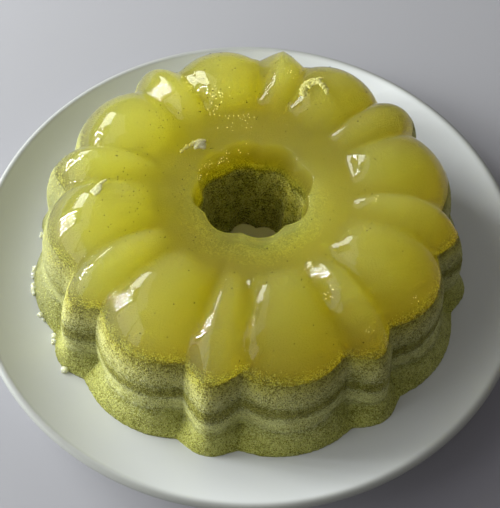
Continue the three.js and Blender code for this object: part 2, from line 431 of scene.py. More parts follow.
def plateOutline():
    top = plateTop
    lip = (plate["radius"] - plate["lip"], top + plate["rimRise"] - plate["lip"])
    centre = (plate["well"], top + bowlRadius)
    turned = math.degrees(math.asin((lip[0] - plate["well"]) / (bowlRadius + plate["lip"])))
    lean, depth = plate["footLean"], plate["footDepth"]
    bevelIn, bevelUp = lean * plate["footBevel"][0], plate["footBevel"][1]
    return ([(r, depth) for r in plate["underRings"]]
            + [(plate["footInner"] - lean, depth), (plate["footInner"] + bevelIn, bevelUp)]
            + [(plate["footInner"] + lean, 0), (plate["footOuter"] - lean, 0)]
            + [(plate["footOuter"] - bevelIn, bevelUp), (plate["footOuter"] + lean, depth)]
            + arcPoints(centre, bowlRadius + plate["thickness"], -90, turned - 90, plate["bowlSteps"])
            + arcPoints(lip, plate["lip"], turned - plate["lipTurn"], turned + 90, plate["lipSteps"])
            + arcPoints(centre, bowlRadius, turned - 90, -90, plate["bowlSteps"])
            + [(r, top) for r in plate["wellRings"]])


def spinOutline(name, outline, steps):
    points = [Vector((x * mm, 0, z * mm)) for x, z in outline]
    deselectAll()
    bpy.ops.mesh.primitive_plane_add(size=mm, location=(0, 0, 0))
    piece = newest(name)
    bpy.ops.object.mode_set(mode="EDIT")
    bpy.ops.mesh.merge(type="CENTER")
    bpy.ops.transform.translate(value=points[0])
    for a, b in zip(points, points[1:]):
        bpy.ops.mesh.extrude_region_move(TRANSFORM_OT_translate={"value": b - a})
    bpy.ops.mesh.select_all(action="SELECT")
    bpy.ops.mesh.spin(steps=steps, angle=math.tau, center=(0, 0, 0), axis=(0, 0, 1))
    bpy.ops.mesh.select_all(action="SELECT")
    bpy.ops.mesh.remove_doubles(threshold=0.01 * mm)
    bpy.ops.mesh.normals_make_consistent(inside=False)
    bpy.ops.object.mode_set(mode="OBJECT")
    smoothShade(piece, angle=35)
    return piece


platePiece = spinOutline("coupe_plate", plateOutline(), plate["steps"])
print("plate:", len(platePiece.data.polygons), "faces")


# Small things strewn in or on the jelly are copies of one coarse ball, each with its own size and tone.
def strewn(name, places, sizes, tones, squash):
    deselectAll()
    bpy.ops.mesh.primitive_ico_sphere_add(subdivisions=1, radius=1, location=(0, 0, 0))
    piece = newest(name)
    corners = np.array([tuple(vertex.co) for vertex in piece.data.vertices])
    copies = piece.modifiers.new("copies", "ARRAY")
    copies.count = len(places)
    copies.use_relative_offset = False
    applyModifiers(piece)
    spin = chance.uniform(0, math.tau, len(places))
    stretch = chance.uniform(squash, 1.0 / squash, (len(places), 3))
    turned = corners[None] * stretch[:, None]
    x = turned[..., 0] * np.cos(spin)[:, None] - turned[..., 1] * np.sin(spin)[:, None]
    y = turned[..., 0] * np.sin(spin)[:, None] + turned[..., 1] * np.cos(spin)[:, None]
    ends = (np.stack([x, y, turned[..., 2]], axis=-1) * sizes[:, None, None] + places[:, None]) * mm
    piece.data.vertices.foreach_set("co", (ends + np.array(jellyMiddle)).astype(np.float32).ravel())
    tone = piece.data.attributes.new("tone", "FLOAT", "POINT")
    tone.data.foreach_set("value", np.repeat(tones, len(corners)).astype(np.float32))
    piece.data.update()
    smoothShade(piece)
    return piece


def polar(bearing, radius, height):
    turn = np.radians(bearing)
    return np.stack([radius * np.cos(turn), radius * np.sin(turn), height], axis=-1)


def underSurface(bearing, step, depth, stride=0.02):  # a place some way below the mould's surface
    radius, height = outsideAt(bearing, step)
    nearRadius, nearHeight = outsideAt(bearing, step + stride)
    along = np.hypot(nearRadius - radius, nearHeight - height) + 1e-6
    outward, upward = (height - nearHeight) / along, (nearRadius - radius) / along
    return polar(bearing, radius - outward * depth, height - upward * depth)


seed = 7
chance = np.random.default_rng(seed)
drift = {
    "wall": 6600,
    "rise": 2.1,
    "leastRise": 0.3,
    "dark": 0.42,
    "hole": 3200,
    "holeRise": 1.4,
    "holeDark": 0.75,
    "depth": (0.08, 0.9),
    "size": (0.1, 0.24),
    "squash": 0.8,
}


def driftPlaces():  # loose grains that float up from the seam
    bearing = chance.uniform(0, 360, drift["wall"])
    rise = np.abs(chance.normal(0, drift["rise"], drift["wall"])) + drift["leastRise"]
    depth = chance.uniform(*drift["depth"], drift["wall"])
    height = clearBaseAt(bearing)[0] + rise
    radius = outsideAt(bearing, stepAtHeight(bearing, height))[0]
    wall = polar(bearing, radius - depth, height)
    bearing = chance.uniform(0, 360, drift["hole"])
    rise = np.abs(chance.normal(0, drift["holeRise"], drift["hole"]))
    height = clearBaseAt(bearing)[1] + rise
    radius = holeRadiusAt(bearing, height) + chance.uniform(*drift["depth"], drift["hole"])
    return np.concatenate([wall, polar(bearing, radius, height)])


places = driftPlaces()
darkShare = np.where(np.arange(len(places)) < drift["wall"], drift["dark"], drift["holeDark"])
sizes = chance.uniform(*drift["size"], len(places))
tones = (chance.random(len(places)) > darkShare) * 1.0
driftGrains = strewn("drift_grains", places, sizes, tones, drift["squash"])

specks = {
    "lobes": 330,
    "steps": (0.1, 1.75),
    "thickShare": 0.45,  # of them lie closer together, about one bearing
    "thickBearing": 150,
    "thickSpread": 46,
    "depth": (-0.05, 0.12),
    "top": 45,
    "topRadius": (29, 43),
    "topDepth": (0.4, 2.0),
    "pair": [(-19.3, 20.6, 55.2), (-18.4, 20.7, 55.2)],
    "size": (0.17, 0.29),
    "squash": 0.7,
}


def speckPlaces():
    count, top = specks["lobes"], specks["top"]
    bearing = chance.uniform(0, 360, count)
    thick = chance.random(count) < specks["thickShare"]
    closer = specks["thickBearing"] + chance.normal(0, specks["thickSpread"], count)
    bearing = np.where(thick, closer, bearing)
    step = chance.uniform(*specks["steps"], count)
    shoulder = underSurface(bearing, step, chance.uniform(*specks["depth"], count))
    bearing = chance.uniform(0, 360, top)
    radius = chance.uniform(*specks["topRadius"], top)
    crown = polar(bearing, radius, mould["plateauHeight"] - chance.uniform(*specks["topDepth"], top))
    return np.concatenate([shoulder, crown, np.array(specks["pair"])])


places = speckPlaces()
sizes = chance.uniform(*specks["size"], len(places))
darkSpecks = strewn("dark_specks", places, sizes, np.zeros(len(places)), specks["squash"])

bubbles = {
    "clusters": [(-8.5, 35.9, 7, 16), (-17.9, 48.1, 5, 26), (-29.6, 57.7, 6, 26), (-19.4, 41.5, 4, 14),
                 (-5.8, 38.7, 3, 8), (15.6, 65.7, 3, 8), (25.1, -40.3, 2.4, 8), (33, -55.6, 3, 10),
                 (48.7, -69.3, 2, 5), (69.3, -52.1, 2, 5), (53.3, -8.7, 2, 5)],  # x, y, spread and count
    "depth": (-0.05, 0.2),
    "size": (0.13, 0.28),
    "holeBearing": 133,
    "holeBearingSpread": 17,
    "holeHeight": 48,
    "holeHeightSpread": 2.6,
    "holeCount": 42,
    "squash": 0.95,
}


def bubblePlaces():
    found = []
    for x, y, spread, count in bubbles["clusters"]:
        away = chance.normal(0, spread / 2, (count, 2)) + (x, y)
        bearing = np.degrees(np.arctan2(away[:, 1], away[:, 0]))
        step = stepAtRadius(bearing, np.hypot(away[:, 0], away[:, 1]))
        found.append(underSurface(bearing, step, chance.uniform(*bubbles["depth"], count)))
    count = bubbles["holeCount"]
    bearing = bubbles["holeBearing"] + chance.normal(0, bubbles["holeBearingSpread"], count)
    height = bubbles["holeHeight"] + chance.normal(0, bubbles["holeHeightSpread"], count)
    radius = holeRadiusAt(bearing, height) + chance.uniform(*bubbles["depth"], count)
    found.append(polar(bearing, radius, height))
    return np.concatenate(found)


places = bubblePlaces()
sizes = chance.uniform(*bubbles["size"], len(places))
tinyBubbles = strewn("tiny_bubbles", places, sizes, np.ones(len(places)), bubbles["squash"])
print("strewn:", sum(len(piece.data.polygons) for piece in (driftGrains, darkSpecks, tinyBubbles)), "faces")

# Scraps on top and wet crumbs at the foot: balls melted into one lump, then roughened. The rows give
# each ball's x, y and radius.
scraps = {
    "flake": [(-68.4, -11.3, 1.1), (-67.4, -12.2, 1.1), (-66.6, -13.2, 1.0), (-65.6, -12.4, 1.0),
              (-67.2, -10.2, 1.3), (-65.9, -10.6, 1.3), (-65.0, -10.6, 1.0), (-66.3, -8.6, 1.3),
              (-65.2, -8.8, 1.1), (-65.6, -7.0, 1.2), (-64.9, -5.6, 1.1), (-64.3, -4.4, 0.9),
              (-63.8, -3.2, 0.7)],
    "crumb": [(-24.2, 22.9, 2.3), (-25.4, 23.4, 1.8), (-23.2, 21.6, 1.6), (-25.2, 21.4, 1.6)],
    "tail": [(-26.6, 22.9, 1.2), (-28.2, 22.0, 1.2), (-29.7, 21.0, 1.1), (-31.1, 19.8, 0.9),
             (-32.1, 18.6, 0.8), (-32.7, 17.6, 0.6), (-27.6, 24.2, 0.6)],
    "arch": [(22.6, 48.6, 1.2), (22.2, 50.2, 1.6), (22.9, 52.2, 1.7), (23.6, 53.8, 1.8), (24.7, 55.2, 1.9),
             (25.5, 56.6, 1.8), (26.6, 57.4, 1.6), (27.9, 56.8, 1.5), (29.3, 57.0, 1.5), (30.4, 58.2, 1.2),
             (29.6, 55.4, 1.4), (30.9, 53.8, 1.4), (32.0, 52.2, 1.3), (32.9, 50.4, 1.2), (33.1, 48.6, 0.8),
             (25.4, 53.4, 1.2), (27.2, 55.0, 1.2)],
}
scrapForm = {"sink": 0.02, "voxel": 0.18, "rough": 0.5, "grain": 0.5, "flat": 0.36}
flakeForm = {**scrapForm, "rough": 0.2}
crumbling = {"count": 6, "share": 0.42, "spread": (0.7, 1.3)}  # the smaller balls round each one
wetFoot = {
    "bearings": [176, 187.5, 188.5, 189.5, 192.3, 193, 193.8, 194.8, 201.5, 202.5, 208.5, 210, 219],
    "size": (0.7, 1.6),
    "spread": 0.6,
    "away": 0.2,
    "lift": 0.3,
    "form": {"sink": 0.2, "voxel": 0.22, "rough": 0.7, "grain": 0.8, "flat": 0.7},
}


def topHeightAt(x, y):
    bearing = np.array([math.degrees(math.atan2(y, x))])
    step = stepAtRadius(bearing, np.array([math.hypot(x, y)]))
    return float(outsideAt(bearing, np.maximum(step, 0))[1][0]) if step[0] > 0 else mould["plateauHeight"]


def crumbled(balls):
    extra = []
    for x, y, z, radius in balls:
        for turn in chance.uniform(0, math.tau, crumbling["count"]):
            small = radius * crumbling["share"] * chance.uniform(*crumbling["spread"])
            extra.append((x + radius * math.cos(turn), y + radius * math.sin(turn), z, small))
    return balls + extra


def meltedLump(name, balls, sink, voxel, rough, grain, flat):
    parts = []
    for x, y, z, radius in balls:
        place = jellyMiddle + Vector((x, y, z + radius * sink)) * mm
        bpy.ops.mesh.primitive_ico_sphere_add(subdivisions=2, radius=radius * mm, location=place)
        bpy.ops.transform.resize(value=(1, 1, flat), center_override=place)
        parts.append(bpy.context.object)
    lump = joinAll(parts, name)
    settle(lump)
    melt = lump.modifiers.new("melt", "REMESH")
    melt.mode = "VOXEL"
    melt.voxel_size = voxel * mm
    clouds = bpy.data.textures.new(name + "_clouds", "CLOUDS")
    clouds.noise_scale = grain * mm
    lumps = lump.modifiers.new("lumps", "DISPLACE")
    lumps.texture = clouds
    lumps.texture_coords = "GLOBAL"
    lumps.strength = rough * mm
    applyModifiers(lump)
    smoothShade(lump, angle=80)
    return lump


looseScraps = {}
for name, row in scraps.items():
    balls = [(x, y, topHeightAt(x, y), r) for x, y, r in row]
    if name == "flake":
        looseScraps[name] = meltedLump("flake_scrap", balls, **flakeForm)
    else:
        looseScraps[name] = meltedLump(name + "_scrap", crumbled(balls), **scrapForm)


def wetBalls():
    bearing = np.array(wetFoot["bearings"])
    twins = bearing + chance.uniform(-1, 1, len(bearing)) * wetFoot["spread"]
    bearing = np.concatenate([bearing, twins])
    size = chance.uniform(*wetFoot["size"], len(bearing))
    edge = footRadiusAt(bearing) + wetFoot["away"]
    places = polar(bearing, edge, glazeUnder(bearing, edge) + size * wetFoot["lift"])
    return [(*place, radius) for place, radius in zip(places.tolist(), size.tolist())]


wetCrumbs = meltedLump("wet_crumbs", crumbled(wetBalls()), **wetFoot["form"])
print("scraps and crumbs:", sum(len(p.data.polygons) for p in (*looseScraps.values(), wetCrumbs)), "faces")


# Helpers for materials
def screenTone(red, green, blue):  # a colour as a screen shows it, 0 to 255
    linear = [((c / 255 + 0.055) / 1.055) ** 2.4 if c > 10 else c / 255 / 12.92
              for c in (red, green, blue)]
    return (*linear, 1.0)


def addNode(tree, kind, **settings):
    node = tree.nodes.new(kind)
    for key, value in settings.items():
        setattr(node, key, value)
    return node


def addNodeAfter(tree, kind, value):
    node = addNode(tree, kind)
    feed(tree, node.inputs[0], value)
    return node


def feed(tree, socket, value):
    if isinstance(value, (int, float, tuple)):
        socket.default_value = value
    else:
        tree.links.new(value, socket)


def maths(tree, operation, *values):
    node = addNode(tree, "ShaderNodeMath", operation=operation)
    for socket, value in zip(node.inputs, values):
        feed(tree, socket, value)
    return node.outputs[0]


def remap(tree, value, low, high, toLow=0.0, toHigh=1.0):
    node = addNode(tree, "ShaderNodeMapRange", interpolation_type="SMOOTHSTEP")
    sockets = {"Value": value, "From Min": low, "From Max": high, "To Min": toLow, "To Max": toHigh}
    for key, given in sockets.items():
        feed(tree, node.inputs[key], given)
    return node.outputs["Result"]


def mixed(tree, share, first, second):
    node = addNode(tree, "ShaderNodeMix", data_type="RGBA")
    for index, value in ((0, share), (6, first), (7, second)):
        feed(tree, node.inputs[index], value)
    return node.outputs[2]


def noiseAt(tree, place, scale, detail=2.0, roughnessOf=0.5):
    node = addNode(tree, "ShaderNodeTexNoise")
    feed(tree, node.inputs["Vector"], place)
    feed(tree, node.inputs["Scale"], scale)
    feed(tree, node.inputs["Detail"], detail)
    feed(tree, node.inputs["Roughness"], roughnessOf)
    return node.outputs["Fac"]


def colourSteps(tree, value, stops):
    node = addNode(tree, "ShaderNodeValToRGB")
    node.color_ramp.interpolation = "EASE"
    elements = node.color_ramp.elements
    for place, colour in stops[2:]:
        elements.new(place)
    for element, (place, colour) in zip(elements, stops):
        element.position = place
        element.color = colour
    feed(tree, node.inputs["Fac"], value)
    return node.outputs["Color"]


def newGroup(name, inputs, outputs):
    group = bpy.data.node_groups.new(name, "ShaderNodeTree")
    for key, kind, value in inputs:
        socket = group.interface.new_socket(name=key, in_out="INPUT", socket_type="NodeSocket" + kind)
        socket.default_value = value
    for key, kind in outputs:
        group.interface.new_socket(name=key, in_out="OUTPUT", socket_type="NodeSocket" + kind)
    return group, addNode(group, "NodeGroupInput"), addNode(group, "NodeGroupOutput")


def placed(tree, group, **values):
    node = addNode(tree, "ShaderNodeGroup")
    node.node_tree = group
    for key, value in values.items():
        feed(tree, node.inputs[key], value)
    return node


def newMaterial(name, **settings):
    material = bpy.data.materials.new(name)
    material.use_nodes = True
    shader = material.node_tree.nodes["Principled BSDF"]
    for key, value in settings.items():
        shader.inputs[key.replace("_", " ")].default_value = value
    return material, material.node_tree, shader


def placeOf(tree):
    return addNode(tree, "ShaderNodeTexCoord").outputs["Object"]


def bumped(tree, shader, height, strength, distance):
    bump = addNode(tree, "ShaderNodeBump")
    feed(tree, bump.inputs["Height"], height)
    feed(tree, bump.inputs["Strength"], strength)
    feed(tree, bump.inputs["Distance"], distance)
    tree.links.new(bump.outputs["Normal"], shader.inputs["Normal"])


def levelOf(tree):
    return addNode(tree, "ShaderNodeAttribute", attribute_name="level").outputs["Fac"]


# Colours by height through the speckled layers, the same in each of their materials, so that a seam
# has a soft edge. Heights are in millimetres above the foot.
bandTones = {
    "height": 50,
    "base": [(0, (190, 190, 92)), (8.5, (194, 194, 102)), (10.8, (168, 168, 78)), (13.2, (202, 202, 124)),
             (19.5, (202, 201, 122)), (22.5, (150, 147, 58)), (27, (140, 137, 48)), (30.5, (192, 190, 104)),
             (36, (206, 203, 120)), (40.5, (196, 191, 98)), (42.5, (152, 146, 52)), (44, (170, 161, 56)),
             (50, (162, 147, 42))],
    "light": [(0, (222, 224, 130)), (20, (222, 224, 150)), (25, (178, 176, 84)), (32, (222, 222, 150)),
              (42, (216, 212, 104))],
    "dark": [(0, (128, 126, 38)), (15, (140, 138, 56)), (25, (84, 81, 14)), (32, (118, 115, 36)),
             (44, (112, 103, 20))],
}


def bandGroup():
    group, given, result = newGroup("jellyBands", [("Level", "Float", 0.0)],
                                    [("Base", "Color"), ("Light", "Color"), ("Dark", "Color")])
    share = maths(group, "DIVIDE", given.outputs["Level"], float(bandTones["height"]))
    for key in ("base", "light", "dark"):
        stops = [(level / bandTones["height"], screenTone(*tone)) for level, tone in bandTones[key]]
        group.links.new(colourSteps(group, share, stops), result.inputs[key.capitalize()])
    return group


def cellsAt(tree, place, scale):  # a tone for each cell, and the way to its middle
    node = addNode(tree, "ShaderNodeTexVoronoi")
    feed(tree, node.inputs["Vector"], place)
    feed(tree, node.inputs["Scale"], scale)
    tone = addNodeAfter(tree, "ShaderNodeSeparateColor", node.outputs["Color"]).outputs[0]
    return tone, node.outputs["Distance"]


grainLook = {
    "scale": 1350.0,
    "finer": (1.0, 1.9),  # two sizes of grain
    "edge": (0.75, 0.3),  # a grain's tone fades from its middle to its edge
    "strength": 0.85,
    "patchScale": 160.0,
    "patchReach": (0.3, 0.7),
    "fewer": 0.5,
    "more": 1.5,
}


# Light and dark grains over a base colour, in two sizes, and their relief.
def grainGroup():
    group, given, result = newGroup(
        "jellyGrains",
        [("Base", "Color", (0.3, 0.3, 0.1, 1)), ("Light", "Color", (0.6, 0.6, 0.3, 1)),
         ("Dark", "Color", (0.1, 0.1, 0.02, 1)), ("Grains", "Float", grainLook["scale"]),
         ("Light Share", "Float", 0.3), ("Dark Share", "Float", 0.3)],
        [("Color", "Color"), ("Height", "Float")])
    place = placeOf(group)
    patches = noiseAt(group, place, grainLook["patchScale"])
    fewer, more = grainLook["fewer"], grainLook["more"]
    colour, relief = given.outputs["Base"], []
    for finer in grainLook["finer"]:
        tone, away = cellsAt(group, place, maths(group, "MULTIPLY", given.outputs["Grains"], finer))
        shaped = remap(group, away, *grainLook["edge"], 0.0, grainLook["strength"])
        patchy = remap(group, patches, *grainLook["patchReach"], fewer, more)
        share = maths(group, "MULTIPLY", given.outputs["Dark Share"], patchy)
        dark = maths(group, "MULTIPLY", maths(group, "LESS_THAN", tone, share), shaped)
        patchy = remap(group, patches, *grainLook["patchReach"], more, fewer)
        share = maths(group, "MULTIPLY", given.outputs["Light Share"], patchy)
        isLight = maths(group, "GREATER_THAN", tone, maths(group, "SUBTRACT", 1.0, share))
        light = maths(group, "MULTIPLY", isLight, shaped)
        colour = mixed(group, light, colour, given.outputs["Light"])
        colour = mixed(group, dark, colour, given.outputs["Dark"])
        relief.append(maths(group, "MULTIPLY", maths(group, "SUBTRACT", tone, away), 1 / finer))
    group.links.new(colour, result.inputs["Color"])
    group.links.new(maths(group, "ADD", *relief), result.inputs["Height"])
    return group


jellyBands = bandGroup()
jellyGrains = grainGroup()


def awayFrom(tree, place, x, y):  # distance from an upright line
    corner = addNodeAfter(tree, "ShaderNodeSeparateXYZ", place)
    sides = [maths(tree, "POWER", maths(tree, "SUBTRACT", corner.outputs[side], middle), 2.0)
             for side, middle in enumerate((x, y))]
    return maths(tree, "SQRT", maths(tree, "ADD", *sides))


def fromJellyAxis(tree, place):
    return awayFrom(tree, place, jellyMiddle.x, jellyMiddle.y)


speckled = {
    "scatter": 0.55,
    "scatterRadius": (1.0, 0.95, 0.4),
    "scatterScale": 0.005,
    "strayScale": 650.0,
    "strayRoughness": 0.7,
    "strayReach": 9.0,  # millimetres that single grains stray from their layer
    "swayScale": 60.0,
    "swayReach": 4.0,  # and that a seam sways
    "fade": (50.0, 45.0),  # levels above which no grain shows
    "holeEdge": (30, 28),
    "reliefDepth": 0.0011,
}
layerLooks = {  # shares of light and dark grains, gloss and relief
    "speckled_jelly": {"light": 0.34, "dark": 0.32, "gloss": 0.55, "relief": 0.9},
    "middle_jelly": {"light": 0.32, "dark": 0.26, "gloss": 0.55, "relief": 0.8},
    "dark_jelly": {"light": 0.34, "dark": 0.36, "gloss": 0.55, "relief": 0.9},
    "foot_jelly": {"light": 0.34, "dark": 0.28, "gloss": 0.4, "relief": 1.0},
}
# darker grains, and more of them dark, in the hole: partly the grains' own look and partly painted shade of
# the hole
holeGrainsAndShade = {
    "Base": (188, 187, 92),
    "Light": (226, 228, 150),
    "Dark": (52, 58, 8),
    "light": 0.36,  # shares, as above
    "dark": 0.4,
}
paintedLitSide = {  # painted light on the window side: the outer walls there are painted duller, a painted shade that tones down their direct light, and in its middle paler, a painted see-through glow, with few specks
    "towards": 172,
    "reach": (0.76, 0.93),
    "levels": (45.5, 44.3),
    "tone": (156, 157, 102),
    "share": 0.8,
    "dullReach": (0.25, 0.9),
    "dullTone": (144, 145, 96),
    "dullShare": 0.4,
}


# masks for the painted light on the window side: a painted paler middle and painted duller walls
def paintedLitSideMasks(tree, place, inside):
    corner = addNodeAfter(tree, "ShaderNodeSeparateXYZ", place)
    turn = math.radians(paintedLitSide["towards"])
    ways = ((jellyMiddle.x, math.cos(turn)), (jellyMiddle.y, math.sin(turn)))
    sides = [maths(tree, "MULTIPLY", maths(tree, "SUBTRACT", corner.outputs[side], middle), way)
             for side, (middle, way) in enumerate(ways)]
    facing = maths(tree, "DIVIDE", maths(tree, "ADD", *sides), fromJellyAxis(tree, place))
    outside = maths(tree, "SUBTRACT", 1.0, inside)
    pale = remap(tree, facing, *paintedLitSide["reach"], 0.0, paintedLitSide["share"])
    pale = maths(tree, "MULTIPLY", pale, remap(tree, levelOf(tree), *paintedLitSide["levels"]))
    dull = remap(tree, facing, *paintedLitSide["dullReach"], 0.0, paintedLitSide["dullShare"])
    return maths(tree, "MULTIPLY", pale, outside), maths(tree, "MULTIPLY", dull, outside)


def swayOf(tree, noise, reach):  # noise as a shift up or down
    return maths(tree, "MULTIPLY", maths(tree, "SUBTRACT", noise, 0.5), reach)


def speckledMaterial(name, light, dark, gloss, relief):
    material, tree, shader = newMaterial(
        name, Subsurface_Weight=speckled["scatter"], Subsurface_Radius=speckled["scatterRadius"],
        Subsurface_Scale=speckled["scatterScale"], IOR=1.36, Specular_IOR_Level=0.3)
    place = placeOf(tree)
    strayNoise = noiseAt(tree, place, speckled["strayScale"], 2.0, speckled["strayRoughness"])
    stray = swayOf(tree, strayNoise, speckled["strayReach"])
    sway = swayOf(tree, noiseAt(tree, place, speckled["swayScale"]), speckled["swayReach"])
    level = maths(tree, "ADD", maths(tree, "ADD", levelOf(tree), stray), sway)
    bands = placed(tree, jellyBands, Level=level)
    shown = remap(tree, levelOf(tree), *speckled["fade"])
    inside = remap(tree, fromJellyAxis(tree, place), *(edge * mm for edge in speckled["holeEdge"]))
    # in the hole the grain tones carry painted shade
    tones = {key: mixed(tree, inside, bands.outputs[key], screenTone(*holeGrainsAndShade[key]))
             for key in ("Base", "Light", "Dark")}
    # painted light and shade: the window side made duller, and paler in its middle
    pale, dull = paintedLitSideMasks(tree, place, inside)
    tones["Base"] = mixed(tree, dull, tones["Base"], screenTone(*paintedLitSide["dullTone"]))
    tones["Base"] = mixed(tree, pale, tones["Base"], screenTone(*paintedLitSide["tone"]))
    shown = maths(tree, "MULTIPLY", shown, maths(tree, "SUBTRACT", 1.0, pale))
    shares = {}
    for key, share in (("light", light), ("dark", dark)):
        inHole = maths(tree, "ADD", maths(tree, "MULTIPLY", inside, holeGrainsAndShade[key] - share), share)
        shares[key.capitalize() + " Share"] = maths(tree, "MULTIPLY", shown, inHole)
    speckles = placed(tree, jellyGrains, **tones, **shares, Grains=grainLook["scale"])
    feed(tree, shader.inputs["Base Color"], speckles.outputs["Color"])
    feed(tree, shader.inputs["Roughness"], gloss)
    bumped(tree, shader, speckles.outputs["Height"], relief, speckled["reliefDepth"])
    return material


# The clear layer is filled with a thin cloud, which turns golden where light goes a long way through.
clearFlesh = {
    "tint": (0.86, 0.86, 0.72, 1),
    "cloud": (0.89, 1, 0.86, 1),
    "cloudDensity": 33.0,
    "forward": 0.35,
    "stain": (0.929, 0.906, 0.11, 1),
    "stainDensity": 120.0,
}


def clearMaterial():
    material, tree, shader = newMaterial("clear_jelly", Transmission_Weight=1.0, IOR=1.34, Roughness=0.02)
    shader.inputs["Base Color"].default_value = clearFlesh["tint"]
    path = addNode(tree, "ShaderNodeLightPath")
    opening = addNode(tree, "ShaderNodeBsdfTransparent")
    surface = addNode(tree, "ShaderNodeMixShader")
    cloud = addNode(tree, "ShaderNodeVolumeScatter")
    stain = addNode(tree, "ShaderNodeVolumeAbsorption")
    inside = addNode(tree, "ShaderNodeAddShader")
    result = tree.nodes["Material Output"]
    for node, colour, density in ((cloud, "cloud", "cloudDensity"), (stain, "stain", "stainDensity")):
        node.inputs["Color"].default_value = clearFlesh[colour]
        node.inputs["Density"].default_value = clearFlesh[density]
    cloud.inputs["Anisotropy"].default_value = clearFlesh["forward"]
    feed(tree, surface.inputs[0], path.outputs["Is Shadow Ray"])
    feed(tree, surface.inputs[1], shader.outputs[0])
    feed(tree, surface.inputs[2], opening.outputs[0])
    feed(tree, inside.inputs[0], cloud.outputs[0])
    feed(tree, inside.inputs[1], stain.outputs[0])
    feed(tree, result.inputs["Surface"], surface.outputs[0])
    feed(tree, result.inputs["Volume"], inside.outputs[0])
    return material


strewnLooks = {  # the tones are the darkest and the lightest
    "drift": {"tones": ((100, 102, 34), (216, 216, 122)), "gloss": 0.5},
    "speck": {"tones": ((30, 32, 6), (60, 64, 12)), "gloss": 0.5},
    # the bubbles glow: a painted glint over their pale tone
    "bubble": {"tones": ((240, 232, 150), (252, 246, 186)), "gloss": 0.2, "paintedGlint": 0.6},
}


def tonedMaterial(name, tones, gloss, paintedGlint=0.0):
    material, tree, shader = newMaterial(name, Roughness=gloss)
    share = addNode(tree, "ShaderNodeAttribute", attribute_name="tone").outputs["Fac"]
    dark, light = (screenTone(*tone) for tone in tones)
    feed(tree, shader.inputs["Base Color"], mixed(tree, share, dark, light))
    # painted glint: the material glows though it is no lamp
    if paintedGlint:
        shader.inputs["Emission Color"].default_value = light
        shader.inputs["Emission Strength"].default_value = paintedGlint
    return material


scrapTones = {
    "flake": ((172, 171, 124), (196, 195, 152)),
    "crumb": ((162, 158, 120), (190, 186, 150)),
    "tail": ((158, 151, 76), (182, 175, 108)),
    "arch": ((166, 162, 80), (198, 193, 122)),
    # the wet crumbs' whitish tones are partly their own colour and partly a painted glint
    "wet": ((206, 207, 160), (234, 235, 202)),
}
scrapLook = {
    "scatter": 0.8,
    "scatterRadius": (1.0, 0.95, 0.6),
    "scatterScale": 0.003,
    "gloss": 0.45,
    "wetGloss": 0.08,
    "scale": 900.0,
    "reach": (0.35, 0.65),
    "relief": 0.5,
    "reliefDepth": 0.0005,
}


def scrapMaterial(name, tones, gloss):
    material, tree, shader = newMaterial(
        name, Subsurface_Weight=scrapLook["scatter"], Subsurface_Radius=scrapLook["scatterRadius"],
        Subsurface_Scale=scrapLook["scatterScale"], Roughness=gloss)
    fine = noiseAt(tree, placeOf(tree), scrapLook["scale"], 3.0)
    share = remap(tree, fine, *scrapLook["reach"])
    dark, light = (screenTone(*tone) for tone in tones)
    feed(tree, shader.inputs["Base Color"], mixed(tree, share, dark, light))
    bumped(tree, shader, fine, scrapLook["relief"], scrapLook["reliefDepth"])
    return material


glaze = {
    "tones": ((217, 219, 220), (223, 225, 225)),
    "cloudScale": 14.0,
    "jellyLightTone": (240, 232, 186),
    "jellyLightEdge": (30, 24),  # painted yellow light under the hole, as if let through the jelly, this far from its middle
    "rimShadeTone": (158, 159, 153),
    "rimShadeEdge": (4.5, 1),  # painted shade: the rim is darker, this far in from its edge, which dims the lip's bright line
    "rippleScale": 60.0,
    "ripple": 0.05,
    "rippleDepth": 0.001,
}


def plateMaterial():
    material, tree, shader = newMaterial("plate_glaze", Roughness=0.45, IOR=1.45)
    place = placeOf(tree)
    cloud = noiseAt(tree, place, glaze["cloudScale"], 3.0)
    colour = mixed(tree, cloud, *(screenTone(*tone) for tone in glaze["tones"]))
    # painted light: the plate under the hole is paler and yellower, as if lit through the jelly
    jellyLight = remap(tree, fromJellyAxis(tree, place), *(edge * mm for edge in glaze["jellyLightEdge"]))
    colour = mixed(tree, jellyLight, colour, screenTone(*glaze["jellyLightTone"]))
    # painted shade darkens the rim
    rim = ((plate["radius"] - edge) * mm for edge in glaze["rimShadeEdge"])
    rimShade = remap(tree, awayFrom(tree, place, 0.0, 0.0), *rim)
    feed(tree, shader.inputs["Base Color"], mixed(tree, rimShade, colour, screenTone(*glaze["rimShadeTone"])))
    bumped(tree, shader, noiseAt(tree, place, glaze["rippleScale"]), glaze["ripple"], glaze["rippleDepth"])
    return material


def dress(piece, material, slotName, *nodes):
    piece.data.materials.clear()
    piece.data.materials.append(material)
    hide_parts(*nodes)
    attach(piece, "root")


dress(clearJelly, clearMaterial(), "clear_jelly", "jelly_clear")
dress(platePiece, plateMaterial(), "plate_glaze", "plate")
for layer, look, slotName, node in (
    ("upper", "speckled_jelly", "speckled_jelly", "grain_upper"),
    ("lower", "middle_jelly", "speckled_jelly", "grain_lower"),
    ("dark", "dark_jelly", "dark_jelly", "grain_dark"),
    ("foot", "foot_jelly", "foot_jelly", "grain_foot"),
):
    dress(grainPieces[layer], speckledMaterial(look, **layerLooks[look]), slotName, node)
for piece, look, slotName in (
    (driftGrains, "drift", "speckled_jelly"),
    (darkSpecks, "speck", "dark_jelly"),
    (tinyBubbles, "bubble", "clear_jelly"),
):
    dress(piece, tonedMaterial(piece.name, **strewnLooks[look]), slotName, "jelly_clear")
for name, scrap in looseScraps.items():
    scrapJelly = scrapMaterial(name + "_scrap", scrapTones[name], scrapLook["gloss"])
    dress(scrap, scrapJelly, "clear_jelly", "jelly_clear")
wetJelly = scrapMaterial("wet_crumbs", scrapTones["wet"], scrapLook["wetGloss"])
dress(wetCrumbs, wetJelly, "foot_jelly", "grain_foot")
print("materials set")
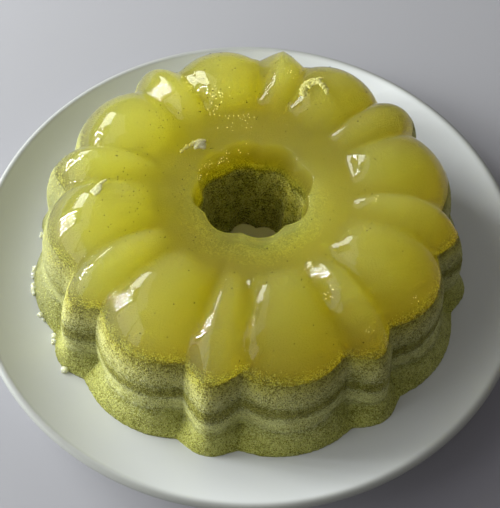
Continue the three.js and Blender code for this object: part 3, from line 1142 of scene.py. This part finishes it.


# The room: a pale floor with painted shade towards the front right, a window to the left, and weak warm
# light from all round.
room = {
    "floorSize": 6.0,
    "floorTones": ((170, 169, 173), (168, 167, 171)),
    "cloudScale": 3.0,
    "paintedShadeTone": (138, 136, 143),
    "paintedShadeEdge": (0.13, 0.21),  # metres towards the front right, where painted shade makes the floor darker
    "skyTone": (0.216, 0.212, 0.211),
    "windowTone": (0.95, 0.99, 0.99),
    "windowAway": 1.0,  # metres from the jelly to the window's plane
}
panes = [  # from and to along Y, from and to in height, brightness
    (0.4, 1.12, 0.42, 0.78, 12.6),
    (0.4, 1.12, 0.36, 0.37, 40.0),
    (0.4, 1.12, 0.02, 0.41, 12.6, False),  # lights the walls, but isn't mirrored in the jelly
    (0.3, 0.31, 0.02, 0.6, 230.0),
    (0.2, 0.21, 0.02, 0.6, 230.0),
    (0.1, 0.11, 0.02, 0.6, 230.0),
    (0.0, 0.01, 0.02, 0.6, 230.0),
    (-0.6, -0.08, 0.02, 0.78, 2.6),
    (-1.2, -0.65, 0.02, 0.78, 2.1),
    (-0.5, 1.1, 0.8, 1.4, 1.7),
]


def addFloor():
    deselectAll()
    bpy.ops.mesh.primitive_plane_add(size=room["floorSize"], location=(0, 0, 0))
    floor = newest("floor")
    material, tree, shader = newMaterial("floor_paint", Roughness=0.9)
    place = placeOf(tree)
    cloud = noiseAt(tree, place, room["cloudScale"])
    paint = mixed(tree, cloud, *(screenTone(*tone) for tone in room["floorTones"]))
    corner = addNodeAfter(tree, "ShaderNodeSeparateXYZ", place)
    # painted shade darkens the floor towards the front right
    frontRight = maths(tree, "SUBTRACT", corner.outputs[0], corner.outputs[1])
    paintedShade = remap(tree, frontRight, *room["paintedShadeEdge"])
    feed(tree, shader.inputs["Base Color"], mixed(tree, paintedShade, paint, screenTone(*room["paintedShadeTone"])))
    floor.data.materials.append(material)
    floor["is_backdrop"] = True


def addPane(left, right, low, high, brightness, mirrored=True):
    across, up = right - left, high - low
    middle = (-room["windowAway"], (left + right) / 2, (low + high) / 2)
    bpy.ops.object.light_add(type="AREA", location=middle, rotation=(0, -math.pi / 2, 0))
    bpy.context.object.visible_glossy = mirrored
    light = bpy.context.object.data
    light.shape = "RECTANGLE"
    light.size = up
    light.size_y = across
    light.energy = brightness * math.pi * across * up
    light.color = room["windowTone"]


def addSky():
    sky = bpy.data.worlds.new("room")
    bpy.context.scene.world = sky
    sky.use_nodes = True
    background = sky.node_tree.nodes["Background"]
    background.inputs["Color"].default_value = (*room["skyTone"], 1)
    background.inputs["Strength"].default_value = 1.0


addFloor()
for pane in panes:
    addPane(*pane)
addSky()

viewpoint = {
    "elevation": 57.245,
    "away": 446.6,
    "targetX": 0.15,
    "targetY": -0.13,
    "roll": 2.072,
    "focal": 905.7,  # in pixels of the frame
    "frame": (500, 508),
    "sensor": 36,
    "nearest": 0.01,  # metres
}


def addCamera():
    tilt = math.radians(viewpoint["elevation"])
    away = viewpoint["away"] * mm
    eye = jellyMiddle + Vector((0, -away * math.cos(tilt), away * math.sin(tilt)))
    target = jellyMiddle + Vector((viewpoint["targetX"], viewpoint["targetY"], 0)) * mm
    bpy.ops.object.camera_add(location=eye)
    camera = bpy.context.object
    facing = (target - eye).to_track_quat("-Z", "Y")
    camera.rotation_euler = (facing @ Quaternion((0, 0, 1), math.radians(viewpoint["roll"]))).to_euler()
    camera.data.sensor_width = viewpoint["sensor"]
    camera.data.lens = viewpoint["focal"] / max(viewpoint["frame"]) * camera.data.sensor_width
    camera.data.clip_start = viewpoint["nearest"]
    bpy.context.scene.camera = camera


addCamera()
bpy.context.scene.view_settings.view_transform = "Standard"
bpy.context.scene.cycles.volume_bounces = 6  # the cloud in the clear jelly stays bright in its depth
print("room and camera set")

sizes = {"cad": cadBox, "visual": [list(corner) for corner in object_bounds()]}
